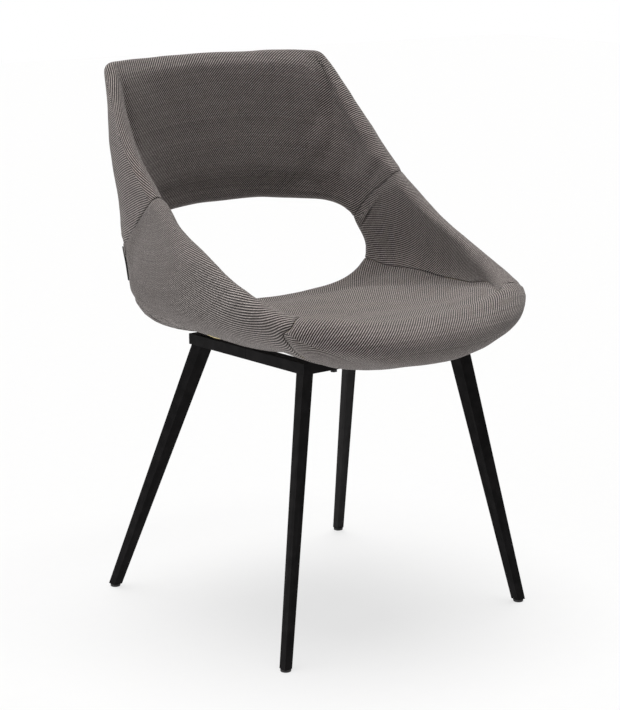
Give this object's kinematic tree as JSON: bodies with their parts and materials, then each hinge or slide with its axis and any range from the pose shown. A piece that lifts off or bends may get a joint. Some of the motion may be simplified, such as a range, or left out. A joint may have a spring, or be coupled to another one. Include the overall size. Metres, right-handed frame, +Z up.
{
  "type": "dining chair",
  "caption": "Upholstered bucket dining chair with an open gap between seat and back, on a splayed tapered black steel leg frame.",
  "frame": {"origin": "on the floor, at the centre of the chair's overall width and depth", "axes": "+Z up, the chair faces -Y, +X to the sitter's left; the words left and right in piece names are as seen by someone facing the chair, so left is -X"},
  "size_m": [0.5088, 0.5777, 0.8213],
  "materials": {
    "frame_steel": "satin black powder coat",
    "glide_plastic": "matt",
    "zinc_steel": "zinc plated",
    "black_screw": "black",
    "spacer_rubber": "matt",
    "core_wood": "moulded plywood",
    "foam": "upholstery foam",
    "cover_fabric": "two-tone grey brown diagonal twill",
    "tape_fabric": "woven closing tape"
  },
  "bodies": {
    "root": {"leg_front_left": "frame_steel", "leg_front_right": "frame_steel", "leg_rear_left": "frame_steel", "leg_rear_right": "frame_steel", "glide_front_left": "glide_plastic", "glide_front_right": "glide_plastic", "glide_rear_left": "glide_plastic", "glide_rear_right": "glide_plastic", "front_rail": "frame_steel", "rear_rail": "frame_steel", "side_rail_front_left": "frame_steel", "side_rail_front_right": "frame_steel", "side_rail_rear_left": "frame_steel", "side_rail_rear_right": "frame_steel", "joiner_left": "frame_steel", "joiner_right": "frame_steel", "joiner_screws": "black_screw", "seat_bolts": "black_screw", "bolt_washers": "black_screw", "seat_spacers": "spacer_rubber", "t_nuts": "zinc_steel", "shell_core": "core_wood", "seat_foam": "foam", "wing_foam_left": "foam", "wing_foam_right": "foam", "back_foam": "foam", "seat_cover": "cover_fabric", "wing_cover_left": "cover_fabric", "wing_cover_right": "cover_fabric", "back_cover": "cover_fabric", "closing_tape_left": "tape_fabric", "closing_tape_right": "tape_fabric"}
  },
  "joints": []
}
